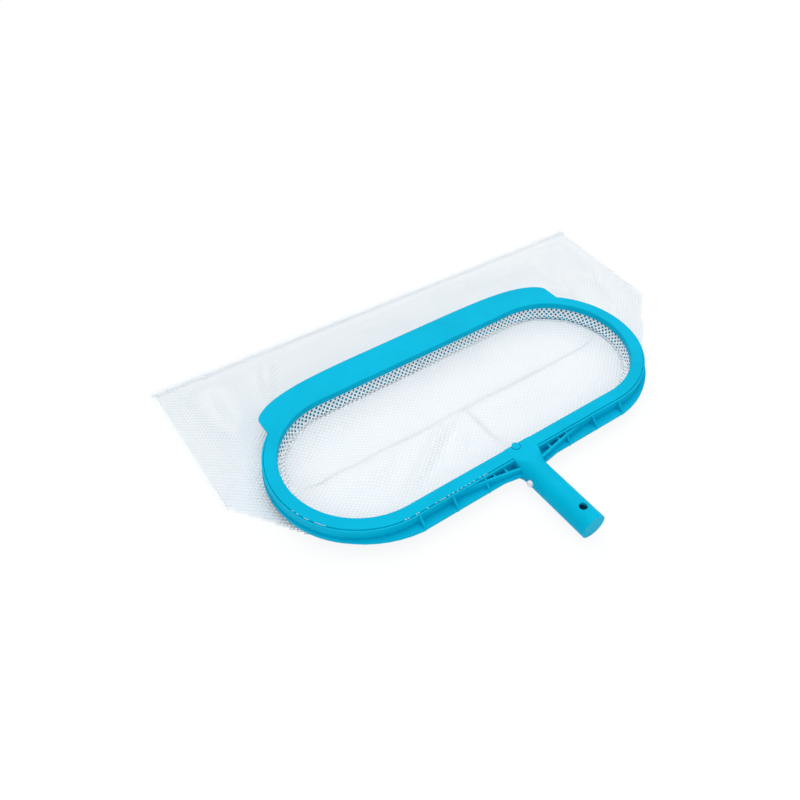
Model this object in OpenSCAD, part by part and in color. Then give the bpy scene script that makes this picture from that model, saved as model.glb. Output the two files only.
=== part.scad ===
// Leaf skimmer net: a ribbed plastic frame with a pole spigot, a snap-on clamp ring with a
// scoop lip, a sprung lock button and a sewn mesh bag that lies flat on the ground.
// Units are millimetres. The origin is on the spigot's axis, where its straight part begins.
// X runs along the ring, Y from the spigot to the scoop lip, Z up.

/* [Ring] */
// Length of the opening inside the ring
opening_l = 414; // [380:1:440]
// Width of the opening inside the ring
opening_w = 158; // [146:1:170]
// Width of the clamp ring's flat top face
band_w = 12.6; // [12:0.1:15]
// Thickness of the clamp ring's top plate
plate_t = 2.2; // [1.8:0.1:2.4]
// Depth of the clamp ring's inner apron below its top face
apron_h = 7; // [5:0.5:9]
// Thickness of the clamp ring's inner apron
apron_t = 1.6; // [1.4:0.1:1.8]
// Radius of the clamp ring's inner top edge
edge_r = 1.2; // [0.8:0.1:1.4]
// Number of ribs under each end arc of the frame
end_ribs = 4; // [3:1:5]

/* [Frame] */
// Depth from the ring's top face to the underside of its walls
ring_depth = 24.2; // [22:0.1:24.3]
// Thickness of the frame's two walls
wall_t = 2.2; // [1.8:0.1:2.4]
// Height of the clamp ring's top face above the frame's rim
rim_drop = 1; // [0.6:0.1:1.4]
// How far the outer wall ends above the bottom of the inner one
outer_wall_step = 5; // [0:0.5:6]
// Thickness of the rim that stands outside the clamp ring
rim_t = 1.7; // [0.8:0.1:2]
// Open seam between the clamp ring and the rim
seam_gap = 0.4; // [0.3:0.1:0.6]
// Thickness of the plate halfway down the frame, which is also the flange
mid_t = 2.4; // [2:0.1:3]
// Reach of the flange from the opening's edge, on the spigot's side
flange_reach = 24; // [21:0.5:27]
// Reach of the flange from the opening's edge, at the ring's two ends
flange_end_reach = 16.4; // [16:0.1:18]
// Thickness of gussets, webs and ribs
rib_t = 1.9; // [1.5:0.1:2.2]
// Distance from the centre line to the first gusset
gusset_first = 51; // [48:0.5:54]
// Spacing of the gussets
gusset_pitch = 37; // [34:0.5:38]

/* [Spigot] */
// Outer diameter of the spigot that a pole slides over
spigot_d = 26.5; // [26.4:0.1:27.5]
// Length of the spigot from its neck to its free end
spigot_l = 77; // [70:1:90]
// Growth of the spigot's diameter from its straight part to the neck, where a pole wedges on
neck_taper = 0.3; // [0.1:0.1:0.5]
// Wall thickness of the spigot's tube
spigot_wall = 3; // [2.5:0.1:3.2]
// Diameter of the lock hole through the spigot
lock_hole_d = 8; // [6.5:0.1:9]
// Distance from the spigot's free end to the lock hole
lock_hole_inset = 16; // [14:0.5:20]
// Distance from the flange's straight edge to the neck
neck_l = 5; // [4.5:0.1:7]
// Half width of the block that joins spigot and ring
root_half_w = 15.2; // [14.5:0.1:17]
// Radius of the locating lug at the ring's inner edge
lug_r = 4.2; // [3.5:0.1:5]

/* [Snap button] */
// Diameter of the snap button
button_d = 6.5; // [6:0.1:7.6]
// Height of the button above the spigot when it is out
button_out = 3.5; // [3:0.1:4]
// Distance from the neck to the button
button_inset = 8.5; // [7:0.5:12]
// Clearance round the button in its hole
button_gap = 0.3; // [0.2:0.05:0.5]
// Thickness of the button spring's leaf
spring_t = 0.8; // [0.6:0.1:1]
// Width of the button spring's leaf
spring_w = 6; // [5:0.5:8]
// Length of the button spring's legs
spring_l = 34; // [28:1:40]

/* [Scoop lip] */
// Length of the lip along the ring
lip_l = 382; // [340:1:386]
// Reach of the lip from the opening's edge
lip_reach = 36.5; // [30:0.5:45]
// Height of the lip's rounded corners, measured along Y
lip_corner = 27.5; // [20:0.5:30]
// Thickness of the lip
lip_t = 1.8; // [1.4:0.1:2]
// Step from the clamp ring's top face down to the lip
lip_drop = 0.4; // [0:0.1:1]

/* [Mesh bag] */
// Thickness of the mesh where the ring clamps it
mesh_t = 0.4; // [0.3:0.05:0.5]
// Thickness of the bag's panels, with the slack of the knit
panel_t = 0.8; // [0.6:0.1:0.9]
// Width of a sewn seam
seam_w = 3; // [2:0.5:4]
// Width of the hem along the bag's far edge
hem_w = 10; // [8:0.5:12]
// Distance of the long seam from the ring's long axis
long_seam_y = 4; // [0:1:8]
// Distance of the short seam from the spigot's axis
short_seam_x = 4; // [0:1:8]
// Gaps across the two big panels, which stand in for the net's fine cells
bag_gaps = 10; // [10:1:12]
// Gaps across each front panel
front_gaps = 9; // [9:1:12]
// Width of the bars between the gaps
net_bar = 4; // [3:0.5:6]
// Height that the upper panel rises to above the ground
pillow_h = 12; // [9:0.5:14]

/* [Hidden] */

$fn = 72;
eps = 0.01;
blue = "deepskyblue";

// Heights, measured from the spigot's axis
neck_d = spigot_d + neck_taper;
top_z = spigot_d / 2;
wall_bottom_z = top_z - ring_depth;
layer_gap = 0.3;
ring_clear = 0.4;
floor_z = min(-neck_d / 2, wall_bottom_z - ring_clear - 2 * panel_t - layer_gap);
rim_z = top_z - rim_drop;
plate_bottom_z = top_z - plate_t;
apron_bottom_z = top_z - apron_h;
mesh_clear = 0.15;
seat_z = plate_bottom_z - mesh_t - 2 * mesh_clear;
mid_z = (rim_z + wall_bottom_z) / 2;
mid_top_z = mid_z + mid_t / 2;
mid_bottom_z = mid_z - mid_t / 2;
outer_bottom_z = wall_bottom_z + outer_wall_step;

// The ring is a stadium. Offsets named _s are measured outwards from the opening's edge
end_r = opening_w / 2;
end_x = opening_l / 2 - end_r;
slot_s = apron_t + mesh_clear;
wall_s = slot_s + mesh_t + mesh_clear;
rim_s = band_w + seam_gap;
outer_s = rim_s + rim_t;
outer_wall_s = outer_s - wall_t;
// The spigot is straight from the origin to its free end, and widens a little towards the neck
taper_margin = 0.95;
neck_y = button_inset + button_d / 2 + button_gap + taper_margin;
ring_y = neck_y + end_r + flange_reach + neck_l;
bore_r = spigot_d / 2 - spigot_wall;
bore_depth = spigot_l + neck_l;
plug_t = 3;
plug_collar_l = 8;
plug_clear = 0.05;

module at_ring() {
    translate([0, ring_y, 0]) children();
}

module at_neck() {
    translate([0, neck_y, 0]) children();
}

// Filled stadium whose edge lies s outside the opening's edge
module stadium(s) {
    for (side = [-1, 1]) translate([side * end_x, 0]) circle(r = end_r + s);
    square([2 * end_x, 2 * (end_r + s)], center = true);
}

module strip(s0, s1) {
    difference() {
        stadium(s1);
        stadium(s0);
    }
}

// Sweeps a profile, drawn as offset and height, all round the stadium
module sweep() {
    for (side = [0, 1]) {
        rotate(180 * side) {
            translate([end_x, 0]) rotate(-90) rotate_extrude(angle = 180)
                translate([end_r, 0]) children();
            translate([-end_x, -end_r, 0]) rotate([90, 0, 90]) linear_extrude(2 * end_x)
                mirror([1, 0]) children();
        }
    }
}

function arc(cx, cy, r, a0, a1, n) =
    [for (i = [0 : n]) [cx + r * cos(a0 + (a1 - a0) * i / n), cy + r * sin(a0 + (a1 - a0) * i / n)]];

// Clamp ring: a flat plate with an apron that holds the mesh against the frame's inner wall
module clamp_profile() {
    outer_r = edge_r / 2;
    polygon(concat(
        [[0, apron_bottom_z], [apron_t, apron_bottom_z], [apron_t, plate_bottom_z],
            [band_w, plate_bottom_z]],
        arc(band_w - outer_r, top_z - outer_r, outer_r, 0, 90, 3),
        arc(edge_r, top_z - edge_r, edge_r, 90, 180, 4)));
}

module root_gap(clear) {
    translate([-root_half_w - clear, -end_r - outer_s, apron_bottom_z - 1])
        cube([2 * (root_half_w + clear), outer_s + 1, apron_h + 2]);
}

lip_root_y = 40;
lip_clear = 0.3;

// Lip outline: straight along most of its length, with corners that fall away smoothly
function lip_edge(t) = end_r + lip_reach - lip_corner + lip_corner * pow(1 - pow(abs(t), 5), 0.63);

module lip_outline() {
    steps = 40;
    ts = [for (i = [0 : steps]) sin(-90 + 180 * i / steps)];
    polygon(concat(
        [[-lip_l / 2, lip_root_y]],
        [for (t = ts) [t * lip_l / 2, lip_edge(t)]],
        [[lip_l / 2, lip_root_y]]));
}

module lip() {
    translate([0, 0, top_z - lip_drop - lip_t]) linear_extrude(lip_t) difference() {
        lip_outline();
        stadium(band_w - edge_r);
    }
}

hook_w = 8;
hook_t = 1.4;
hook_barb = 1;
hook_s = (wall_s + wall_t + outer_wall_s) / 2;
hook_clear = 0.3;
hook_gap_z = 0.2;
rib_angle = 180 / (end_ribs + 1);

// Places its children at each hook, midway between two ribs, with local Y pointing outwards
module at_hooks() {
    for (side = [-1, 1], i = [0.5, 1.5])
        translate([side * (gusset_first + i * gusset_pitch), -end_r, 0]) rotate(180) children();
    for (side = [-1, 1], i = [0.5, 2.5])
        translate([side * i * gusset_pitch, end_r, 0]) children();
    for (side = [-1, 1], i = [1 : end_ribs - 1])
        translate([side * end_x, 0, 0]) rotate(-side * rib_angle * (i + 0.5))
            translate([0, end_r, 0]) children();
}

module hook() {
    barb_z = mid_bottom_z - hook_gap_z;
    translate([hook_w / 2, hook_s, 0]) rotate([90, 0, -90]) linear_extrude(hook_w)
        polygon([[-hook_t / 2, plate_bottom_z + eps], [hook_t / 2, plate_bottom_z + eps],
            [hook_t / 2, barb_z - 2.4], [hook_barb / 2, barb_z - 3],
            [-hook_t / 2, barb_z - 2.4], [-hook_t / 2 - hook_barb, barb_z],
            [-hook_t / 2, barb_z]]);
}

module hook_window() {
    translate([-hook_w / 2 - hook_clear, hook_s - hook_t / 2 - hook_clear, mid_bottom_z - 1])
        cube([hook_w + 2 * hook_clear, hook_t + hook_barb + 2 * hook_clear, mid_t + 2]);
}

module clamp_ring() color(blue) at_ring() {
    difference() {
        union() {
            sweep() clamp_profile();
            lip();
        }
        root_gap(mesh_clear);
    }
    at_hooks() hook();
}

// Reach of the flange round an end arc: a is 0 on the spigot's side and 180 on the lip's side
function flange_s(a) = a < 90
    ? flange_end_reach + (flange_reach - flange_end_reach) * pow(1 - sin(a), 1.5)
    : flange_end_reach - (flange_end_reach - outer_s + 0.2) * sin(a - 90);

function flange_end(side) = [for (i = [0 : 30]) let (a = 6 * i, r = end_r + flange_s(a))
    [side * (end_x + r * sin(a)), -r * cos(a)]];

module flange_outline() {
    right = flange_end(1);
    left = flange_end(-1);
    polygon(concat(right, [for (i = [len(left) - 1 : -1 : 0]) left[i]]));
}

// The flange widens towards the spigot and ends in a small fillet on each side of it
module neck_flare() {
    r = 2;
    flare_x = 34;
    flare_l = neck_l - r;
    y = -end_r - flange_reach;
    slope = atan2(flare_l, flare_x - neck_d / 2);
    fillet_x = neck_d / 2 + r;
    fillet_y = y - flare_l + r * tan(slope) - r / cos(slope);
    right = concat([[flare_x, y]], arc(fillet_x, fillet_y, r, 90 + slope, 180, 6));
    left = [for (i = [len(right) - 1 : -1 : 0]) [-right[i][0], right[i][1]]];
    polygon(concat([[-flare_x, y + 1], [flare_x, y + 1]], right, left));
}

module mid_plate() {
    translate([0, 0, mid_bottom_z]) linear_extrude(mid_t) difference() {
        union() {
            flange_outline();
            neck_flare();
        }
        stadium(wall_s + eps);
    }
}

// The rim stops where the lip passes over the outer wall
module lip_recess() {
    translate([-lip_l / 2 - lip_clear, lip_root_y - lip_clear, seat_z])
        cube([lip_l + 2 * lip_clear, end_r + outer_s, top_z]);
}

module wall_profile() {
    translate([wall_s, wall_bottom_z]) square([wall_t, seat_z - wall_bottom_z]);
    translate([outer_wall_s, outer_bottom_z]) square([wall_t, seat_z - outer_bottom_z]);
    translate([rim_s, seat_z - eps]) square([rim_t, rim_z - seat_z + eps]);
}

// A gusset fills the corner between the outer wall and the flange, above and below
module gusset() {
    reach = flange_reach - outer_s;
    bump = 0.8;
    translate([rib_t / 2, -end_r - outer_s, 0]) rotate([90, 0, -90]) linear_extrude(rib_t)
        polygon([[-eps, rim_z - 0.2], [reach, mid_top_z], [reach, mid_bottom_z - bump],
            [-eps, outer_bottom_z + 1]]);
}

web_end_x = 78;
web_turn_x = 72;
web_root_y = -end_r - flange_reach - 1.5;
web_start_y = -end_r - outer_s + 0.6;
web_drop = 1;
web_root_drop = 4.6;

// The two webs flare from the ring's outer wall into the spigot's neck
function web_y(x) = let (t = (web_turn_x - x) / web_turn_x)
    web_start_y + (web_root_y - web_start_y) * (0.78 * t + 0.22 * t * t);

module web_outline(side) {
    xs = [for (x = [web_end_x : -6 : 6]) x];
    polygon(concat(
        [for (x = xs) [side * x, web_y(x) + rib_t / 2]],
        [for (i = [1 : len(xs)]) let (x = xs[len(xs) - i]) [side * x, web_y(x) - rib_t / 2]]));
}

ladder_xs = [27.5, 40.5];

// Side view of a web: highest at the ring, lower at the spigot, alike above and below
module web_heights(side) {
    x0 = side * spigot_d / 4;
    x1 = side * (web_end_x + 1);
    polygon([[x0, rim_z - web_root_drop], [x1, rim_z - web_drop], [x1, outer_bottom_z + web_drop],
        [x0, wall_bottom_z + web_root_drop]]);
}

module webs() {
    for (side = [-1, 1]) intersection() {
        translate([0, web_root_y - spigot_d, 0]) mirror([0, 1, 0]) rotate([90, 0, 0])
            linear_extrude(3 * spigot_d) web_heights(side);
        translate([0, 0, wall_bottom_z]) linear_extrude(ring_depth) difference() {
            union() {
                web_outline(side);
                for (x = ladder_xs) translate([side * x - rib_t / 2, web_y(x)])
                    square([rib_t, -end_r - rim_s - web_y(x)]);
            }
            stadium(rim_s + eps);
        }
    }
}

// Ribs across the channel under the mid plate
module channel_ribs() {
    h = mid_bottom_z - outer_bottom_z - 1;
    w = outer_wall_s - wall_s - wall_t;
    for (side = [-1, 1], i = [0 : 2])
        translate([side * (gusset_first + i * gusset_pitch) - rib_t / 2,
            -end_r - outer_wall_s - 0.5, mid_bottom_z - h])
            cube([rib_t, w + 1, h + 1]);
    for (i = [-3 : 3])
        translate([i * gusset_pitch - rib_t / 2, end_r + wall_s + wall_t - 0.5, mid_bottom_z - h])
            cube([rib_t, w + 1, h + 1]);
    for (side = [-1, 1], i = [1 : end_ribs])
        translate([side * end_x, 0, 0]) rotate(-side * rib_angle * i)
            translate([-rib_t / 2, end_r + wall_s + wall_t - 0.5, mid_bottom_z - h])
            cube([rib_t, w + 1, h + 1]);
}

slice_t = 0.2;
root_edge_r = 0.8;
root_steps = 4;

module slice(y) {
    translate([0, y, 0]) rotate([90, 0, 0]) linear_extrude(slice_t, center = true) children();
}

// Cross-section of the root: t runs from 0 at the ring, a block, to 1 at the neck, a circle
module root_section(t) {
    e = t * t * (3 - 2 * t);
    neck_r = neck_d / 2;
    r = root_edge_r + (neck_r - root_edge_r) * e;
    half_w = root_half_w + (neck_r - root_half_w) * e;
    upper_z = top_z + (neck_r - top_z) * e;
    lower_z = wall_bottom_z + (-neck_r - wall_bottom_z) * e;
    for (side = [-1, 1], z = [upper_z - r, lower_z + r])
        translate([side * (half_w - r), z]) circle(r = r, $fn = 32);
}

// The block that carries the spigot: flat across the ring, round at the neck
module root() {
    inner_y = -end_r - wall_s;
    band_y = -end_r - band_w;
    neck_y = -end_r - flange_reach - neck_l;
    translate([-root_half_w, band_y, wall_bottom_z])
        cube([2 * root_half_w, inner_y - band_y, ring_depth]);
    for (i = [1 : root_steps]) hull() {
        slice(band_y + (neck_y - band_y) * (i - 1) / root_steps) root_section((i - 1) / root_steps);
        slice(band_y + (neck_y - band_y) * i / root_steps) root_section(i / root_steps);
    }
}

// Inner edge of the block, with the same apron as the clamp ring and a slot for the mesh
module root_apron() {
    intersection() {
        translate([0, 0, apron_bottom_z]) linear_extrude(apron_h) strip(0, wall_s + 0.5);
        translate([-root_half_w, -end_r - 2 * wall_s, apron_bottom_z])
            cube([2 * root_half_w, 2 * wall_s + 1, apron_h]);
    }
}

module mesh_slot() {
    translate([0, 0, apron_bottom_z - 1])
        linear_extrude(seat_z + mesh_clear - apron_bottom_z + 1 + mesh_t) strip(apron_t, wall_s);
}

lug_x = -3;
lug_y = -end_r - 2.2;
lug_groove_w = 0.7;
lug_groove_d = 1;

// A round lug on the block's inner edge, with a groove round it
module lug() {
    lug_proud = 0.3;
    translate([lug_x, lug_y, apron_bottom_z]) cylinder(r = lug_r, h = apron_h + lug_proud);
}

module lug_groove() {
    translate([lug_x, lug_y, top_z - lug_groove_d]) cylinder(r = lug_r + lug_groove_w, h = apron_h);
}

// The tube that a pole slides over, with a slight taper between its straight part and the neck
module spigot() {
    rotate([90, 0, 0]) {
        translate([0, 0, neck_y]) cylinder(d = spigot_d, h = spigot_l - neck_y);
        cylinder(d1 = neck_d, d2 = spigot_d, h = neck_y);
        translate([0, 0, -1]) cylinder(d = neck_d, h = 1);
    }
}

module main_frame() color(blue) difference() {
    union() {
        at_ring() {
            sweep() wall_profile();
            mid_plate();
            webs();
            channel_ribs();
            for (side = [-1, 1], i = [0 : 2])
                translate([side * (gusset_first + i * gusset_pitch), 0, 0]) gusset();
            difference() {
                union() {
                    difference() {
                        union() {
                            root();
                            root_apron();
                        }
                        lug_groove();
                    }
                    lug();
                }
                mesh_slot();
            }
        }
        at_neck() spigot();
    }
    at_ring() {
        at_hooks() hook_window();
        lip_recess();
    }
    at_neck() {
        translate([0, -spigot_l - 1, 0]) rotate([-90, 0, 0])
            cylinder(r = bore_r, h = bore_depth + 1);
        translate([0, -spigot_l + lock_hole_inset, -spigot_d])
            cylinder(d = lock_hole_d, h = 2 * spigot_d);
        translate([0, -button_inset, 0]) rotate([0, -90, 0])
            cylinder(d = button_d + 2 * button_gap, h = spigot_d);
    }
}

// Press-in plug that closes the spigot's free end
module spigot_end_plug() color(blue) at_neck() {
    translate([0, -spigot_l, 0]) rotate([-90, 0, 0]) difference() {
        cylinder(r = bore_r - plug_clear, h = plug_collar_l);
        translate([0, 0, plug_t]) cylinder(r = bore_r - 2.2, h = plug_collar_l);
    }
}

flange_in_x = 8.8;
flange_t = 1.1;
button_flange_r = button_d / 2 + 1.1;

// The button: a domed pin with a flange that the spigot's wall keeps in
module snap_button() color("ghostwhite") at_neck() {
    tip_x = spigot_d / 2 + button_out;
    dome = 1.2;
    r = button_d / 2;
    dome_r = (r * r + dome * dome) / (2 * dome);
    translate([0, -button_inset, 0]) rotate([0, -90, 0]) rotate_extrude($fn = 48) intersection() {
        union() {
            translate([0, flange_in_x - flange_t]) square([button_flange_r, flange_t]);
            translate([0, flange_in_x - eps]) square([r, tip_x]);
        }
        translate([0, tip_x - dome_r]) circle(r = dome_r, $fn = 48);
        translate([0, flange_in_x - flange_t]) square([2 * r, tip_x]);
    }
}

// One face of the spring's leaf, t inside or outside its middle line, from leg to leg
function spring_path(rest_x, button_x, t) =
    let (bend_r = 3, bend_y = -button_inset - spring_l,
        straight_y = -button_inset - button_d / 2, tip_y = -button_inset + button_d / 2)
    concat([[rest_x + t, tip_y], [rest_x + t, straight_y]],
        arc(0, bend_y, bend_r + t, 0, -180, 16),
        [[-button_x - t, straight_y], [-button_x - t, tip_y]]);

// A V-shaped leaf: one leg rests on the bore's wall and the other pushes the button out
module button_spring() color("silver") at_neck() {
    gap = 0.1;
    button_x = flange_in_x - flange_t - gap - spring_t / 2;
    rest_x = sqrt(bore_r * bore_r - spring_w * spring_w / 4) - gap - spring_t / 2;
    inner = spring_path(rest_x, button_x, -spring_t / 2);
    outer = spring_path(rest_x, button_x, spring_t / 2);
    translate([0, 0, -spring_w / 2]) linear_extrude(spring_w)
        polygon(concat(outer, [for (i = [len(inner) - 1 : -1 : 0]) inner[i]]));
}

// Heights of the bag's layers
lower_top_z = floor_z + panel_t;
upper_z = lower_top_z + layer_gap;
upper_top_z = upper_z + panel_t;

// The bag's outline on the ground, measured from the ring's centre
bag_near_left = [-261, 27];
bag_far_left = [-262, 214];
bag_far_right = [326, 199];
bag_near_right = [312, 33];
bag_outline_pts = [[-208, -45], bag_near_left, bag_far_left, bag_far_right, bag_near_right, [233, -40]];

module bag_outline() {
    polygon(bag_outline_pts);
}

// A band of the given width along one edge of the outline, inside it
module edge_band(p, q, w) {
    d = (q - p) / norm(q - p);
    translate(p) rotate(atan2(d[1], d[0])) translate([-2 * w, -w]) square([norm(q - p) + 4 * w, 2 * w]);
}

module hem_band() {
    edge_band(bag_far_left, bag_far_right, hem_w);
}

module left_band() {
    edge_band(bag_near_left, bag_far_left, seam_w);
}

module right_band() {
    edge_band(bag_far_right, bag_near_right, seam_w);
}

module panel_area() {
    difference() {
        bag_outline();
        hem_band();
        left_band();
        right_band();
    }
}

module front_area() {
    intersection() {
        stadium(wall_s - mesh_clear);
        translate([-opening_l, -opening_w]) square([2 * opening_l, opening_w + long_seam_y]);
    }
}

// How far a point lies from the line through a and b, to its right
function right_of(p, a, b) = let (d = (b - a) / norm(b - a)) d[1] * (p[0] - a[0]) - d[0] * (p[1] - a[1]);
// How far it lies inside the bag's outline, and outside the ring's opening
function inside_bag(p) = let (n = len(bag_outline_pts))
    min([for (i = [0 : n - 1]) right_of(p, bag_outline_pts[i], bag_outline_pts[(i + 1) % n])]);
function off_ring(p) = norm([max(abs(p[0]) - end_x, 0), p[1]]) - end_r;
function corners(c, size) = [for (i = [-0.5, 0.5], j = [-0.5, 0.5]) c + [i * size[0], j * size[1]]];

// Middles of the whole gaps that fit. Those of the two big panels line up.
gaps_edge_y = long_seam_y + seam_w / 2 + net_bar;
bag_cell = (bag_far_right[0] - bag_far_left[0]) / bag_gaps * [1, 0.35];
bag_gap = bag_cell - [net_bar, net_bar];
bag_grid = [for (i = [-bag_gaps : bag_gaps], j = [-bag_gaps : bag_gaps])
    let (c = [i * bag_cell[0], gaps_edge_y + bag_gap[1] / 2 + j * bag_cell[1]])
    if (min([for (p = corners(c, bag_gap)) inside_bag(p)]) > hem_w + net_bar) c];
upper_grid = [for (c = bag_grid) if (min([for (p = corners(c, bag_gap)) off_ring(p)]) > slot_s + net_bar) c];
lower_grid = concat([for (c = bag_grid) if (c[1] > gaps_edge_y) c],
    [for (c = upper_grid) if (c[1] < gaps_edge_y) c]);

front_cell = (opening_l / 2 - abs(short_seam_x) - net_bar) / front_gaps;
front_gap = [front_cell - net_bar, front_cell - net_bar];
function front_grid(side) = [for (i = [0 : front_gaps - 1], j = [0 : front_gaps - 1])
    let (c = [short_seam_x + side * (seam_w / 2 + net_bar / 2 + front_cell * (i + 0.5)),
        long_seam_y - seam_w / 2 - net_bar / 2 - front_cell * (j + 0.5)])
    if (max([for (p = corners(c, front_gap)) off_ring(p)]) < wall_s - net_bar) c];

module gaps(places, size) {
    for (c = places) translate(c) square(size, center = true);
}

module front_panel(side) color("white") at_ring() translate([0, 0, floor_z]) linear_extrude(panel_t)
    difference() {
        intersection() {
            front_area();
            translate([short_seam_x + (side - 1) / 2 * opening_l, -opening_w])
                square([opening_l, 2 * opening_w]);
        }
        gaps(front_grid(side), front_gap);
    }

module bag_front_panel_left() front_panel(-1);

module bag_front_panel_right() front_panel(1);

module bag_lower_panel() color("white") at_ring() translate([0, 0, floor_z])
    linear_extrude(panel_t) difference() {
        panel_area();
        front_area();
        gaps(lower_grid, bag_gap);
    }

pillow_pts = [[-238, 106], [-240, 194], [300, 184], [292, 104]];
pillow_slope_w = 14;

module pillow(lift) {
    c = (pillow_pts[0] + pillow_pts[1] + pillow_pts[2] + pillow_pts[3]) / 4;
    hull() {
        translate([0, 0, upper_z + lift]) linear_extrude(eps) polygon(pillow_pts);
        translate([0, 0, floor_z + pillow_h - panel_t + lift]) linear_extrude(eps)
            polygon([for (p = pillow_pts) p - [sign(p[0] - c[0]), sign(p[1] - c[1])] * pillow_slope_w]);
    }
}

module bag_upper_panel() color("white") at_ring() difference() {
    union() {
        translate([0, 0, upper_z]) linear_extrude(panel_t) difference() {
            panel_area();
            stadium(slot_s);
        }
        pillow(panel_t);
    }
    pillow(-eps);
    translate([0, 0, floor_z]) linear_extrude(2 * pillow_h) gaps(upper_grid, bag_gap);
}

module bag_mouth_band() color("white") at_ring() {
    margin_z = seat_z + mesh_clear;
    difference() {
        translate([0, 0, lower_top_z]) linear_extrude(margin_z + mesh_t - lower_top_z)
            strip(slot_s, slot_s + mesh_t);
        translate([0, 0, lower_top_z - eps]) linear_extrude(upper_top_z - lower_top_z + eps)
            bag_outline();
    }
    translate([0, 0, margin_z]) linear_extrude(mesh_t) difference() {
        strip(slot_s, rim_s - mesh_clear);
        translate([-root_half_w - 1, -end_r - outer_s]) square([2 * root_half_w + 2, outer_s + 1]);
        at_hooks() translate([-hook_w / 2 - hook_clear, hook_s - hook_t / 2 - hook_clear])
            square([hook_w + 2 * hook_clear, hook_t + 2 * hook_clear]);
    }
}

// Distances from the ends of the opening, or its edge, to the ends of the seams
seam_left_gap = 17;
seam_right_gap = 7;
seam_front_gap = 6;

module bag_long_seam() color("white") at_ring()
    translate([-opening_l / 2 + seam_left_gap, long_seam_y - seam_w / 2, lower_top_z])
        cube([opening_l - seam_left_gap - seam_right_gap, seam_w, panel_t]);

module bag_short_seam() color("white") at_ring()
    translate([short_seam_x - seam_w / 2, -end_r + seam_front_gap, lower_top_z])
        cube([seam_w, end_r - seam_front_gap + long_seam_y - seam_w / 2, panel_t]);

module edge_solid() {
    translate([0, 0, floor_z]) linear_extrude(upper_top_z - floor_z) intersection() {
        bag_outline();
        children();
    }
}

module bag_far_hem() color("white") at_ring() edge_solid() hem_band();

module bag_side_seam_left() color("white") at_ring() edge_solid() difference() {
    left_band();
    hem_band();
}

module bag_side_seam_right() color("white") at_ring() edge_solid() difference() {
    right_band();
    hem_band();
}

main_frame();
clamp_ring();
spigot_end_plug();
button_spring();
snap_button();
bag_mouth_band();
bag_front_panel_left();
bag_front_panel_right();
bag_lower_panel();
bag_upper_panel();
bag_long_seam();
bag_short_seam();
bag_far_hem();
bag_side_seam_left();
bag_side_seam_right();
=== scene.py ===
import math

import bmesh
import bpy
from mathutils import Euler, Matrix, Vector, noise


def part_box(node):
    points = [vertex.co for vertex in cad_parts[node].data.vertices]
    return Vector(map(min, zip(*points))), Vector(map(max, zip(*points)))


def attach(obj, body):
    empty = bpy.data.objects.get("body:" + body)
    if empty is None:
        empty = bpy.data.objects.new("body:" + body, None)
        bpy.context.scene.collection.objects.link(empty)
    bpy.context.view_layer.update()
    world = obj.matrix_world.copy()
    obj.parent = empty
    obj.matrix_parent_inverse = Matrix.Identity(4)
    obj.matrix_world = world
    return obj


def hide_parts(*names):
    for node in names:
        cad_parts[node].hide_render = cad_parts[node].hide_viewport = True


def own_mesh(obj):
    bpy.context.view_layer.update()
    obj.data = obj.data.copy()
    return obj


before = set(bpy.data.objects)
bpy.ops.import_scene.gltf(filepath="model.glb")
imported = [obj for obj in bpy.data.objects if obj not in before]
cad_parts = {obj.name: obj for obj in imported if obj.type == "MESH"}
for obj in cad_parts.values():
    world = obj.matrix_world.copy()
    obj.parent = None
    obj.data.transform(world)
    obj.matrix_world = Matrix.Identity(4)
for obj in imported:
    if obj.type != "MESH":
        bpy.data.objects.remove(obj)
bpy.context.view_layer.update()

# The knots stray by chance, and the same way each time
noise.seed_set(3)

# The ring, as in the part's source. Lengths are in metres, and a place on the ring or the bag is
# measured from the middle of the ring's opening.
OPENING_L, OPENING_W = 0.414, 0.158
BAND_W = 0.0126
APRON_H = 0.007
END_R = OPENING_W / 2
END_X = OPENING_L / 2 - END_R
ring_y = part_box("clamp_ring")[0].y + END_R + BAND_W
top_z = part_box("clamp_ring")[1].z
floor_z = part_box("bag_lower_panel")[0].z
seam_y = (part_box("bag_long_seam")[0].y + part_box("bag_long_seam")[1].y) / 2 - ring_y
seam_x = (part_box("bag_short_seam")[0].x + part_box("bag_short_seam")[1].x) / 2
HEM_W, SEAM_W = 0.010, 0.003
# Where the long seam and the short seam end
SEAM_LEFT, SEAM_RIGHT, SEAM_NEAR = -0.190, 0.200, -0.073

# The bag's outline on the ground, and the ranges that take all of it in
NEAR_LEFT, FAR_LEFT = (-0.261, 0.027), (-0.262, 0.214)
FAR_RIGHT, NEAR_RIGHT = (0.326, 0.199), (0.312, 0.033)
OUTLINE = [(-0.208, -0.045), NEAR_LEFT, FAR_LEFT, FAR_RIGHT, NEAR_RIGHT, (0.233, -0.040)]
X_RANGE, Y_RANGE = (-0.27, 0.33), (-0.09, 0.22)

# Heights over the ground of the threads of the two nets, the side seams and the hem
LOWER_Z, UPPER_Z, SIDE_SEAM_Z, HEM_Z = 0.0007, 0.0016, 0.0014, 0.0027

# The net in the ring: how high its slack is held up where the skirt meets it, and its unevenness
HELD_UP, INNER_SOFT = 0.0080, 0.0008
# Where, going in from the opening's edge, the slack rises, where it falls, and where the folds rise.
# Each is a start and a length.
SLACK_RISE, SLACK_FALL, FOLD_RISE = (0, 0.005), (0.006, 0.034), (0, 0.03)

# The swell of the upper net: its unevenness, and how much higher it is behind the ring. It rises going
# away from the opening's edge and in from the outline, and more of it does beyond the ring.
SWELL_SOFT, SWELL_BEHIND = 0.00066, 0.0032
RING_RISE, BORDER_RISE, BEHIND_RISE = (0.016, 0.020), (0.008, 0.034), (0.080, 0.045)

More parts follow.
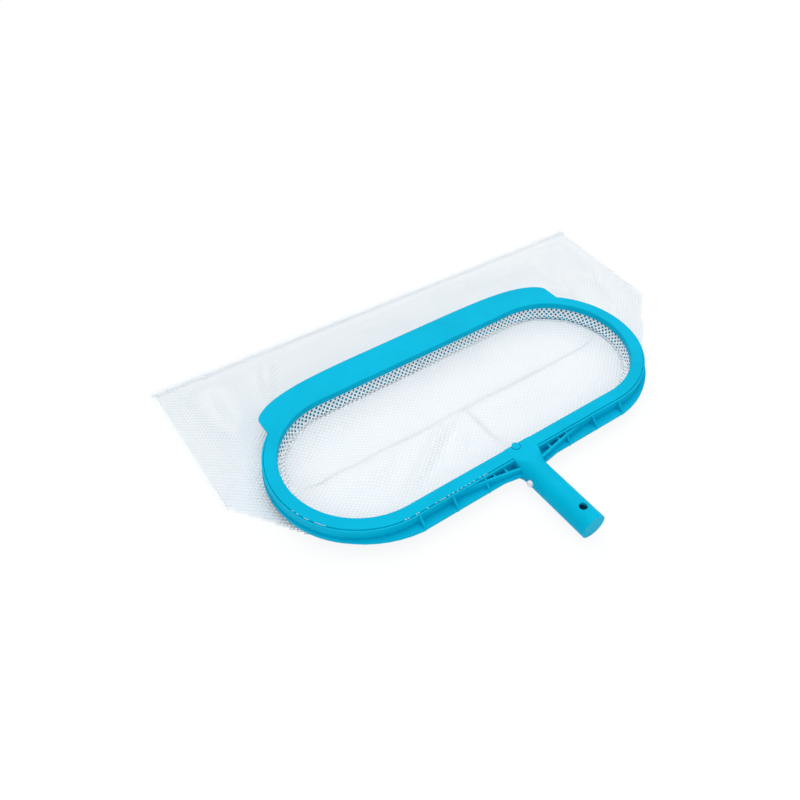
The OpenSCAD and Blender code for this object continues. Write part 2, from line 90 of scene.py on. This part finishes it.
# How far inside the outline the nets end, and how far outside the opening's edge the upper net's hole does
BORDER, UPPER_HOLE = 0.003, 0.004

# The knit: diamonds of flat thread. The skirt, which is seen close to, has thick threads.
CELL_W, CELL_H = 0.0056, 0.0046
THREAD_W, UPPER_THREAD_W = 0.00165, 0.0013
SKIRT_CELL_W, SKIRT_CELL_H = 0.0056, 0.0054
SKIRT_THREAD_W, SKIRT_THREAD_T = 0.0015, 0.0006
# The hem is knitted closer, as a share of the other cells
HEM_CELLS = 0.8
# How far the knots stray from an even grid: many together, and each by itself
DRIFT, SHAKE = 0.0016, 0.00035


def at(x, y, z):
    """A place measured from the ring's centre and up from the ground, in the part's frame."""
    return Vector((x, ring_y + y, floor_z + z))


# ---------------------------------------------------------------- materials

class Nodes:
    """Adds nodes to a material by their type and joins them up."""

    def __init__(self, name):
        self.material = bpy.data.materials.new(name)
        self.material.use_nodes = True
        self.tree = self.material.node_tree
        self.shader = self.tree.nodes["Principled BSDF"]

    def add(self, kind, **values):
        node = self.tree.nodes.new(kind)
        for key, value in values.items():
            socket = node.inputs.get(key.replace("_", " "))
            if socket is not None:
                socket.default_value = value
            else:
                setattr(node, key, value)
        return node

    def join(self, output, target):
        self.tree.links.new(output, target)

    def place(self):
        return self.add("ShaderNodeTexCoord").outputs["Object"]

    def noise(self, scale, detail, rough=0.5):
        node = self.add("ShaderNodeTexNoise", Scale=scale, Detail=detail, Roughness=rough)
        self.join(self.place(), node.inputs["Vector"])
        return node.outputs["Fac"]

    def spread(self, value, low, high):
        """Turns a noise, most of which is between 0.3 and 0.7, into a range of numbers."""
        node = self.add("ShaderNodeMapRange")
        for key, number in zip(("From Min", "From Max", "To Min", "To Max"), (0.3, 0.7, low, high)):
            node.inputs[key].default_value = number
        self.join(value, node.inputs["Value"])
        return node.outputs["Result"]

    def ramp(self, value, dark, light, start=0.3, end=0.7):
        node = self.add("ShaderNodeValToRGB")
        for stop, place, colour in zip(node.color_ramp.elements, (start, end), (dark, light)):
            stop.position, stop.color = place, (*colour, 1)
        self.join(value, node.inputs["Fac"])
        return node.outputs["Color"]

    def bump(self, heights, distance, strength):
        """Bump from several outputs, each on top of the one before."""
        last = None
        for height in heights:
            node = self.add("ShaderNodeBump", Distance=distance, Strength=strength)
            self.join(height, node.inputs["Height"])
            if last is not None:
                self.join(last, node.inputs["Normal"])
            last = node.outputs["Normal"]
        self.join(last, self.shader.inputs["Normal"])


def moulded_plastic(name, colour, roughness, specular=0.3):
    """Injection-moulded plastic: a little cloudy in colour, with a faint orange-peel surface."""
    m = Nodes(name)
    dark, light = [tuple(c * k for c in colour) for k in (0.93, 1.04)]
    m.join(m.ramp(m.noise(28, 4), dark, light), m.shader.inputs["Base Color"])
    m.join(m.spread(m.noise(160, 5, 0.6), roughness - 0.05, roughness + 0.06), m.shader.inputs["Roughness"])
    m.bump([m.noise(900, 2), m.noise(120, 2)], 0.00006, 0.5)
    m.shader.inputs["Specular IOR Level"].default_value = specular
    return m.material


def knit_thread(name, colour, shade, let_through):
    """Textured nylon yarn: fine fibres along the thread, and soft grey-blue changes over the cloth.
    It lets a share of the light through."""
    m = Nodes(name)
    m.join(m.ramp(m.noise(14, 3), shade, colour, 0.35, 0.65), m.shader.inputs["Base Color"])
    m.join(m.spread(m.noise(700, 2), 0.55, 0.8), m.shader.inputs["Roughness"])
    m.bump([m.noise(2400, 2, 0.7)], 0.00015, 0.7)
    m.shader.inputs["Sheen Weight"].default_value = 0.15
    m.shader.inputs["Specular IOR Level"].default_value = 0.3
    through = m.add("ShaderNodeBsdfTranslucent", Color=(*colour, 1))
    mixed = m.add("ShaderNodeMixShader")
    mixed.inputs["Fac"].default_value = let_through
    m.join(m.shader.outputs["BSDF"], mixed.inputs[1])
    m.join(through.outputs["BSDF"], mixed.inputs[2])
    m.join(mixed.outputs["Shader"], m.tree.nodes["Material Output"].inputs["Surface"])
    return m.material


def sprung_steel(name):
    m = Nodes(name)
    m.join(m.ramp(m.noise(90, 5), (0.42, 0.42, 0.44), (0.62, 0.62, 0.63)), m.shader.inputs["Base Color"])
    m.join(m.spread(m.noise(1500, 2), 0.25, 0.42), m.shader.inputs["Roughness"])
    m.shader.inputs["Metallic"].default_value = 1.0
    m.bump([m.noise(3000, 1)], 0.00002, 0.5)
    return m.material


BLUE = moulded_plastic("blue_plastic", (0.0, 0.47, 0.71), 0.42, 0.03)
PALE = moulded_plastic("white_plastic", (0.83, 0.86, 0.88), 0.4)
STEEL = sprung_steel("spring_steel")
# The net is one white nylon. These are copies of it, each painted lighter or darker for the light where it
# lies. The net in the ring and the lower net (MESH) are painted darker. The upper net, hem, skirt, side
# seams and thread ends are painted lighter, to make up for the shade between the two nets and under the
# band. The long and short seams are painted between the two.
MESH = knit_thread("white_mesh", (0.90, 0.94, 0.97), (0.86, 0.915, 0.96), 0.45)
UPPER_MESH_PAINTED_LIGHTER = knit_thread("upper_mesh_painted_lighter", (0.97, 0.99, 1.0), (0.94, 0.98, 1.0), 0.45)
SKIRT_MESH_PAINTED_LIGHTER = knit_thread("skirt_mesh_painted_lighter", (0.97, 0.99, 1.0), (0.94, 0.98, 1.0), 0.05)
SEWN = knit_thread("sewn_mesh", (0.95, 0.98, 1.0), (0.91, 0.955, 0.995), 0.3)


# ---------------------------------------------------------------- plastic and steel

def dress(obj, material):
    """Gives an object one material, in place of any that it has."""
    obj.data.materials.clear()
    obj.data.materials.append(material)


def finish_cad(node, material, edge, segments=2):
    """Gives a CAD node its material, and rounds its moulded edges by the radius edge."""
    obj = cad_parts[node]
    dress(obj, material)
    flats = obj.modifiers.new("flats", "DECIMATE")
    flats.decimate_type = "DISSOLVE"
    flats.angle_limit = math.radians(0.5)
    bevel = obj.modifiers.new("edges", "BEVEL")
    bevel.width, bevel.segments = edge, segments
    bevel.limit_method, bevel.angle_limit = "ANGLE", math.radians(35)


finish_cad("main_frame", BLUE, 0.0003)
finish_cad("clamp_ring", BLUE, 0.0003)
finish_cad("spigot_end_plug", BLUE, 0.0004)
finish_cad("snap_button", PALE, 0.0006, 3)


def new_object(name, data):
    obj = bpy.data.objects.new(name, data)
    bpy.context.scene.collection.objects.link(obj)
    return obj


def new_piece(name, mesh, material):
    obj = new_object(name, mesh)
    dress(obj, material)
    return obj


def mesh_from(bm, name):
    """The finished mesh of what was built in bm."""
    mesh = bpy.data.meshes.new(name)
    bm.to_mesh(mesh)
    bm.free()
    return mesh


# The spring's leaf: a copy of the CAD spring in steel, carried by the frame
leaf = new_piece("spring_leaf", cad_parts["button_spring"].data.copy(), STEEL)
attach(leaf, "frame")
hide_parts("button_spring")
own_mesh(leaf)


# ---------------------------------------------------------------- net

def edge_gap(x, y):
    """How far a place is outside the edge of the ring's opening; less than 0 inside it."""
    return math.hypot(max(abs(x) - END_X, 0.0), y) - END_R


def ring_place(arc, out):
    """The place at a distance along the opening's edge, from the middle of its far side, and out from it."""
    run, bend = 2 * END_X, math.pi * END_R
    half, rest = divmod((arc + END_X) % (2 * (run + bend)), run + bend)
    side = -1 if half else 1
    if rest < run:
        return side * (rest - END_X), side * (END_R + out)
    turn = (rest - run) / END_R
    return side * (END_X + (END_R + out) * math.sin(turn)), side * (END_R + out) * math.cos(turn)


FADE = 0.2


def fold(x, y, start, end, width, height):
    """Height of a soft fold that runs from start to end and dies away a fifth of its length beyond them."""
    along = Vector(end) - Vector(start)
    rest = Vector((x, y)) - Vector(start)
    t = rest.dot(along) / along.length_squared
    across = abs(rest.cross(along)) / along.length
    if not -FADE < t < 1 + FADE or across > 3 * width:
        return 0.0
    rounded = math.sin(math.pi * (t + FADE) / (1 + 2 * FADE)) ** 1.5
    return height * math.exp(-(across / width) ** 2) * rounded


def rise(value, start, length):
    """0 up to start and 1 from length beyond it, with a smooth rise between."""
    t = min(max((value - start) / length, 0.0), 1.0)
    return t * t * (3 - 2 * t)


def rumple(x, y, waves, layer):
    """Soft unevenness of the cloth, about 1 in the middle; waves are numbers a metre."""
    return 1 + noise.noise(Vector((x * waves[0], y * waves[1], layer)))


# Folds of the net inside the ring and outside it: start, end, width and height
INNER_FOLDS = [
    ((-0.012, 0.000), (-0.066, -0.024), 0.0065, 0.0072),
    ((-0.046, -0.016), (-0.120, -0.062), 0.0075, 0.0088),
    ((-0.012, -0.018), (-0.044, -0.046), 0.006, 0.0050),
    ((-0.086, 0.004), (-0.146, -0.030), 0.012, 0.0050),
    ((0.006, 0.000), (0.118, -0.030), 0.008, 0.0022),
    ((-0.188, 0.028), (-0.120, -0.020), 0.009, 0.0026),
    ((0.150, -0.004), (0.134, -0.040), 0.007, 0.0024),
    ((-0.080, 0.060), (0.030, 0.030), 0.012, 0.0024),
    ((0.060, 0.056), (0.160, 0.026), 0.010, 0.0022),
]
OUTER_FOLDS = [
    ((-0.126, 0.208), (-0.164, 0.122), 0.009, 0.0090),
    ((-0.205, 0.190), (-0.214, 0.060), 0.010, 0.0034),
    ((-0.238, 0.120), (-0.206, 0.020), 0.007, 0.0026),
    ((0.060, 0.190), (0.200, 0.160), 0.012, 0.0040),
    ((0.250, 0.170), (0.228, 0.060), 0.010, 0.0036),
    ((0.290, 0.130), (0.262, 0.040), 0.008, 0.0028),
    ((-0.060, 0.196), (0.030, 0.150), 0.011, 0.0034),
]


def lower_height(x, y):
    """Height of the lower net over the ground: flat outside the ring, and inside it loose and folded,
    with slack that is held up round the edge."""
    into = -edge_gap(x, y)
    slack = HELD_UP * rise(into, *SLACK_RISE) * (1 - rise(into, *SLACK_FALL))
    soft = INNER_SOFT * rumple(x, y, (22, 26), 3.0)
    folds = sum(fold(x, y, *f) for f in INNER_FOLDS)
    return LOWER_Z + slack + rise(into, *FOLD_RISE) * (soft + folds)


def border_gap(x, y):
    """How far a place is inside the bag's outline."""
    gap = 1.0
    for (ax, ay), (bx, by) in zip(OUTLINE, OUTLINE[1:] + OUTLINE[:1]):
        dx, dy = bx - ax, by - ay
        gap = min(gap, (dy * (x - ax) - dx * (y - ay)) / math.hypot(dx, dy))
    return gap


def upper_height(x, y):
    """Height of the upper net: it lies on the lower one at the edges and swells behind the ring."""
    swell = rise(edge_gap(x, y), *RING_RISE) * rise(border_gap(x, y), *BORDER_RISE)
    behind = rise(y, *BEHIND_RISE)
    soft = SWELL_SOFT * rumple(x, y, (15, 19), 8.0)
    folds = sum(fold(x, y, *f) for f in OUTER_FOLDS)
    return UPPER_Z + swell * (soft + SWELL_BEHIND * behind + folds * (0.5 + 0.5 * behind))


def knit(name, x_range, y_range, place, keep, cells=(CELL_W, CELL_H), phase=(0, 0), width=THREAD_W,
         thickness=0.0, material=MESH):
    """A net of diamond cells: place moves each knot to where it lies, and keep says which cells are
    there. phase shifts the grid by a share of half a cell."""
    bm = bmesh.new()
    half_w, half_h = cells[0] / 2, cells[1] / 2
    columns = range(math.floor(x_range[0] / half_w), math.ceil(x_range[1] / half_w) + 1)
    rows = range(math.floor(y_range[0] / half_h), math.ceil(y_range[1] / half_h) + 1)
    knots = {}

    def knot(i, j):
        if (i, j) not in knots:
            x, y = (i + phase[0]) * half_w, (j + phase[1]) * half_h
            drift = noise.noise_vector(Vector((x * 9, y * 9, 1.0))) * DRIFT
            shake = noise.noise_vector(Vector((i * 0.9, j * 0.9, 5.0))) * SHAKE
            knots[i, j] = bm.verts.new(place(x + drift.x + shake.x, y + drift.y + shake.y))
        return knots[i, j]

    for i in columns:
        for j in rows:
            if (i + j) % 2 and keep((i + phase[0]) * half_w, (j + phase[1]) * half_h):
                bm.faces.new([knot(i - 1, j), knot(i, j - 1), knot(i + 1, j), knot(i, j + 1)])
    bm.normal_update()
    holes = bm.faces[:]
    bmesh.ops.inset_individual(bm, faces=holes, thickness=width / 2, use_even_offset=True)
    bmesh.ops.delete(bm, geom=holes, context="FACES")
    obj = new_piece(name, mesh_from(bm, name), material)
    if thickness:
        threads = obj.modifiers.new("threads", "SOLIDIFY")
        threads.thickness, threads.offset = thickness, 0.0
    return obj


def in_front(x, y):
    """Whether a cell is on the spigot's side of the long seam, in the opening or just under its edge."""
    return edge_gap(x, y) < 0.0008 and y < seam_y


def in_hem(x, y):
    """Whether a cell is in the hem, clear of its outer edge and its ends."""
    a, b = Vector(FAR_LEFT), Vector(FAR_RIGHT)
    gap = (b - a).normalized().cross(Vector((x, y)) - a)
    return -HEM_W < gap < -0.001 and a.x + 0.002 < x < b.x - 0.002


def on_lower(x, y):
    return at(x, y, lower_height(x, y))


def on_upper(x, y):
    return at(x, y, upper_height(x, y))


front_left = knit("net_front_panel_left", X_RANGE, Y_RANGE, on_lower,
                  lambda x, y: in_front(x, y) and x < seam_x)
front_right = knit("net_front_panel_right", X_RANGE, Y_RANGE, on_lower,
                   lambda x, y: in_front(x, y) and x > seam_x)
lower = knit("net_lower_panel", X_RANGE, Y_RANGE, on_lower,
             lambda x, y: not in_front(x, y) and border_gap(x, y) > BORDER)
upper = knit("net_upper_panel", X_RANGE, Y_RANGE, on_upper,
             lambda x, y: edge_gap(x, y) > UPPER_HOLE and border_gap(x, y) > BORDER and not in_hem(x, y),
             phase=(0.5, 0.35), width=UPPER_THREAD_W, material=UPPER_MESH_PAINTED_LIGHTER)

# The skirt hangs from the clamped edge, down the frame's inner wall and in on to the slack of the net.
# Each place is how far out from the opening's edge it is, and its height over the ground.
SKIRT = [(0.0019, top_z - floor_z - 0.0040), (0.0012, top_z - floor_z - APRON_H - 0.001),
         (-0.0004, HELD_UP + 0.0070), (-0.0030, HELD_UP + 0.0034), (-0.0074, HELD_UP + 0.0012)]
# How unevenly it hangs, which it does in full from SKIRT_FREE down
SKIRT_WAVE, SKIRT_FREE = 0.0006, 0.012


def on_skirt(arc, down):
    """The place on the skirt at a distance along the ring's edge and down from the clamp."""
    for (out0, z0), (out1, z1) in zip(SKIRT, SKIRT[1:]):
        step = math.hypot(out1 - out0, z1 - z0)
        if down <= step or (out1, z1) == SKIRT[-1]:
            t = down / step
            wave = noise.noise(Vector((arc * 30, down * 60, 2.0))) * min(down / SKIRT_FREE, 1.0)
            out = out0 + (out1 - out0) * t - SKIRT_WAVE * wave
            z = z0 + (z1 - z0) * t
            return at(*ring_place(arc, out), z)
        down -= step


skirt_l = sum(math.hypot(b[0] - a[0], b[1] - a[1]) for a, b in zip(SKIRT, SKIRT[1:]))
ring_l = 4 * END_X + 2 * math.pi * END_R
skirt_cells = [length / round(length / size) for length, size in
               ((ring_l, SKIRT_CELL_W), (2 * skirt_l, SKIRT_CELL_H))]
skirt = knit("net_mouth_band", (0, ring_l), (0, skirt_l), on_skirt,
             lambda arc, down: 0 <= arc < ring_l and 0.001 < down < skirt_l - 0.001,
             cells=skirt_cells, width=SKIRT_THREAD_W, thickness=SKIRT_THREAD_T,
             material=SKIRT_MESH_PAINTED_LIGHTER)


def tube(bm, points, radius, sides, flat=1.0):
    """A closed tube along a row of places; flat below 1 makes it lower than it is wide."""
    rings = []
    for n, point in enumerate(points):
        along = (points[min(n + 1, len(points) - 1)] - points[max(n - 1, 0)]).normalized()
        side = along.cross(Vector((0, 0, 1)))
        side = side.normalized() if side.length > 1e-4 else Vector((1, 0, 0))
        up = side.cross(along)
        turns = [2 * math.pi * k / sides for k in range(sides)]
        rings.append([bm.verts.new(point + radius * (side * math.cos(a) + up * flat * math.sin(a)))
                      for a in turns])
    for a, b in zip(rings, rings[1:]):
        for k in range(sides):
            bm.faces.new([a[k], a[(k + 1) % sides], b[(k + 1) % sides], b[k]])
    bm.faces.new(rings[0][::-1])
    bm.faces.new(rings[-1])


def even_places(points, pitch):
    """Places at an even pitch along a row of places."""
    places, left = [], 0.0
    for a, b in zip(points, points[1:]):
        length = (b - a).length
        while left <= length:
            places.append(a.lerp(b, left / length))
            left += pitch
        left -= length
    return places


# A seam's roll: how flat it is, how far it lies over the net, and how far it wanders from its line
ROLL_FLAT, ROLL_UP, WANDER = 0.2, 0.0004, 0.0006
# Its stitches: their radius, how far the middle stands up, and how far they reach as a share of the pitch
STITCH_R, STITCH_UP, STITCH_REACH = 0.0003, 0.0005, 0.32
SEAM_PITCH, SIDE_PITCH, HEM_PITCH = 0.0042, 0.0045, 0.0056


def sewn(name, start, end, width, height, stitch_pitch, steps=60, material=SEWN):
    """A sewn seam: a flat roll of net from start to end that follows height, with stitches along it."""
    bm = bmesh.new()
    a, b = Vector(start), Vector(end)
    across = Vector((a.y - b.y, b.x - a.x)).normalized()
    spine = []
    for n in range(steps + 1):
        x, y = a.lerp(b, n / steps)
        wave = noise.noise(Vector((x * 40, y * 40, 9.0)))
        x, y = Vector((x, y)) + across * WANDER * wave
        spine.append(at(x, y, height(x, y) + ROLL_UP))
    tube(bm, spine, width / 2, 8, ROLL_FLAT)
    way = Vector((b.x - a.x, b.y - a.y, 0)).normalized() * stitch_pitch * STITCH_REACH
    lift = Vector((0, 0, STITCH_UP))
    for place in even_places(spine, stitch_pitch):
        tube(bm, [place - way, place + lift, place + way], STITCH_R, 5)
    bmesh.ops.recalc_face_normals(bm, faces=bm.faces)
    return new_piece(name, mesh_from(bm, name), material)


long_seam = sewn("net_long_seam", (SEAM_LEFT, seam_y), (SEAM_RIGHT, seam_y), SEAM_W,
                 lower_height, SEAM_PITCH)
short_seam = sewn("net_short_seam", (seam_x, seam_y), (seam_x, SEAM_NEAR), SEAM_W,
                  lower_height, SEAM_PITCH)


# The ends of thread that show in the groove: their radius and their pitch
LOOSE_R, LOOSE_PITCH = 0.00024, 0.0024


def clamped_edge(name, stretches, pitch):
    """Ends of thread that show in the groove round the clamp ring, along stretches of the ring's edge."""
    bm = bmesh.new()
    for start, end in stretches:
        for n in range(int((end - start) / pitch)):
            arc = start + n * pitch
            loose = noise.noise(Vector((arc * 400, 4.0, 0.0)))
            if loose > 0.0:
                # Along the edge in pitches, out from it, and up from the ring's top
                places = [(-0.3, 0.0, -0.0004), (0.0, 0.0003, 0.0003 + 0.0004 * loose), (0.35, 0.0, -0.0004)]
                tube(bm, [at(*ring_place(arc + pitch * run, BAND_W + out), top_z - floor_z + lift)
                          for run, out, lift in places], LOOSE_R, 5)
    bmesh.ops.recalc_face_normals(bm, faces=bm.faces)
    return new_piece(name, mesh_from(bm, name), SKIRT_MESH_PAINTED_LIGHTER)


# They show to the left of the spigot and on the ring's left end
near_middle = 2 * END_X + math.pi * END_R
edge = clamped_edge("net_clamped_edge", [(near_middle + 0.048, near_middle + 0.140),
                                         (near_middle + 0.200, near_middle + 0.232)], LOOSE_PITCH)


def inset(p, q, distance):
    """p and q moved into the bag, at right angles to the line between them."""
    p, q = Vector(p), Vector(q)
    side = Vector((p.y - q.y, q.x - p.x)).normalized()
    middle = (p + q) / 2
    if border_gap(*(middle + side * 0.01)) < border_gap(*middle):
        side = -side
    return p + side * distance, q + side * distance


# The hem's line of stitches: how far it is from the hem's inner edge, and how wide its thread is
HEM_LINE_IN, HEM_LINE_W = 0.002, 0.0002


def level(z):
    """A height that is the same everywhere."""
    return lambda x, y: z


left_seam = sewn("net_side_seam_left", *inset(NEAR_LEFT, FAR_LEFT, SEAM_W / 2), SEAM_W,
                 level(SIDE_SEAM_Z), SIDE_PITCH, material=SKIRT_MESH_PAINTED_LIGHTER)
right_seam = sewn("net_side_seam_right", *inset(FAR_RIGHT, NEAR_RIGHT, SEAM_W / 2), SEAM_W,
                  level(SIDE_SEAM_Z), SIDE_PITCH, material=SKIRT_MESH_PAINTED_LIGHTER)
hem_line = sewn("net_far_hem_line", *inset(FAR_LEFT, FAR_RIGHT, HEM_W - HEM_LINE_IN), HEM_LINE_W,
                level(HEM_Z), HEM_PITCH, steps=120, material=SKIRT_MESH_PAINTED_LIGHTER)
hem = knit("net_far_hem", X_RANGE, Y_RANGE, lambda x, y: at(x, y, HEM_Z), in_hem,
           cells=(CELL_W * HEM_CELLS, CELL_H * HEM_CELLS), phase=(0.3, 0.1), material=UPPER_MESH_PAINTED_LIGHTER)

for obj, *nodes in (
    (skirt, "bag_mouth_band"),
    (edge,),
    (front_left, "bag_front_panel_left"),
    (front_right, "bag_front_panel_right"),
    (lower, "bag_lower_panel"),
    (upper, "bag_upper_panel"),
    (long_seam, "bag_long_seam"),
    (short_seam, "bag_short_seam"),
    (hem, "bag_far_hem"),
    (hem_line,),
    (left_seam, "bag_side_seam_left"),
    (right_seam, "bag_side_seam_right"),
):
    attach(obj, "frame")
    if nodes:
        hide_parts(*nodes)


# ---------------------------------------------------------------- floor, light and camera

def backdrop_rays(tree):
    """1 for the rays that show the backdrop itself: the camera's, and those that gloss or glass sends on.
    Light that shines through the net is diffuse, and is none of them."""
    paths = tree.nodes.new("ShaderNodeLightPath")
    total = paths.outputs["Is Camera Ray"]
    for change, kind in (("ADD", "Is Glossy Ray"), ("ADD", "Is Transmission Ray"),
                         ("SUBTRACT", "Is Diffuse Ray")):
        step = tree.nodes.new("ShaderNodeMath")
        step.operation, step.use_clamp = change, True
        tree.links.new(total, step.inputs[0])
        tree.links.new(paths.outputs[kind], step.inputs[1])
        total = step.outputs[0]
    return total


def studio_floor(name, colour, seen_white):
    """A matt floor that keeps the shadows on it. Seen directly, it is part white backdrop."""
    m = Nodes(name)
    m.join(m.ramp(m.noise(2, 2), colour, tuple(min(c * 1.01, 1.0) for c in colour)),
           m.shader.inputs["Base Color"])
    m.shader.inputs["Roughness"].default_value = 0.9
    m.shader.inputs["Specular IOR Level"].default_value = 0.0
    share = m.add("ShaderNodeMath", operation="MULTIPLY")
    share.inputs[1].default_value = seen_white
    m.join(backdrop_rays(m.tree), share.inputs[0])
    white = m.add("ShaderNodeEmission", Color=(1, 1, 1, 1), Strength=1.0)
    mixed = m.add("ShaderNodeMixShader")
    m.join(share.outputs[0], mixed.inputs["Fac"])
    m.join(m.shader.outputs["BSDF"], mixed.inputs[1])
    m.join(white.outputs["Emission"], mixed.inputs[2])
    m.join(mixed.outputs["Shader"], m.tree.nodes["Material Output"].inputs["Surface"])
    return m.material


REACH = 6.0
floor_mesh = bpy.data.meshes.new("floor")
floor_mesh.from_pydata([(-REACH, -REACH, 0), (REACH, -REACH, 0), (REACH, REACH, 0), (-REACH, REACH, 0)],
                       [], [(0, 1, 2, 3)])
floor = new_object("floor", floor_mesh)
floor.location = (0, 0, floor_z - 0.0001)
dress(floor, studio_floor("floor", (0.97, 0.98, 0.99), 0.88))


def sun(name, azimuth, elevation, strength, spread):
    """A soft sun; its three angles are in degrees."""
    lamp = bpy.data.lights.new(name, "SUN")
    lamp.energy, lamp.angle = strength, math.radians(spread)
    obj = new_object(name, lamp)
    obj.rotation_euler = Euler((math.radians(90 - elevation), 0, math.radians(azimuth)))


def white_world(name, light, seen):
    """White all round, with one strength as light on the object and another where it is seen."""
    world = bpy.data.worlds.new(name)
    world.use_nodes = True
    tree = world.node_tree
    background = tree.nodes["Background"]
    background.inputs["Color"].default_value = (1, 1, 1, 1)
    strength = tree.nodes.new("ShaderNodeMapRange")
    strength.inputs["To Min"].default_value = light
    strength.inputs["To Max"].default_value = seen
    tree.links.new(backdrop_rays(tree), strength.inputs["Value"])
    tree.links.new(strength.outputs["Result"], background.inputs["Strength"])
    return world


sun("key", 150, 62, 1.3, 60)
sun("fill", -40, 60, 0.8, 90)
bpy.context.scene.world = white_world("studio", 0.5, 1.0)

# The camera looks at AIM, a place on the ring's top face, from the front left
AIM = (-0.0593, 0.0325)
AZIMUTH, ELEVATION, ROLL = math.radians(-34.767), math.radians(45.521), math.radians(0.139)
DISTANCE, LENS = 0.73465, 32.462
back = Vector((math.sin(AZIMUTH) * math.cos(ELEVATION), -math.cos(AZIMUTH) * math.cos(ELEVATION),
               math.sin(ELEVATION)))
camera = new_object("camera", bpy.data.cameras.new("camera"))
camera.data.sensor_width, camera.data.lens = 36.0, LENS
camera.location = Vector((AIM[0], ring_y + AIM[1], top_z)) + back * DISTANCE
turned = Euler((math.pi / 2 - ELEVATION, 0, AZIMUTH)).to_matrix() @ Euler((0, 0, ROLL)).to_matrix()
camera.rotation_euler = turned.to_euler()
camera.data.clip_start = 0.01
bpy.context.scene.camera = camera
bpy.context.scene.view_settings.view_transform = "Standard"
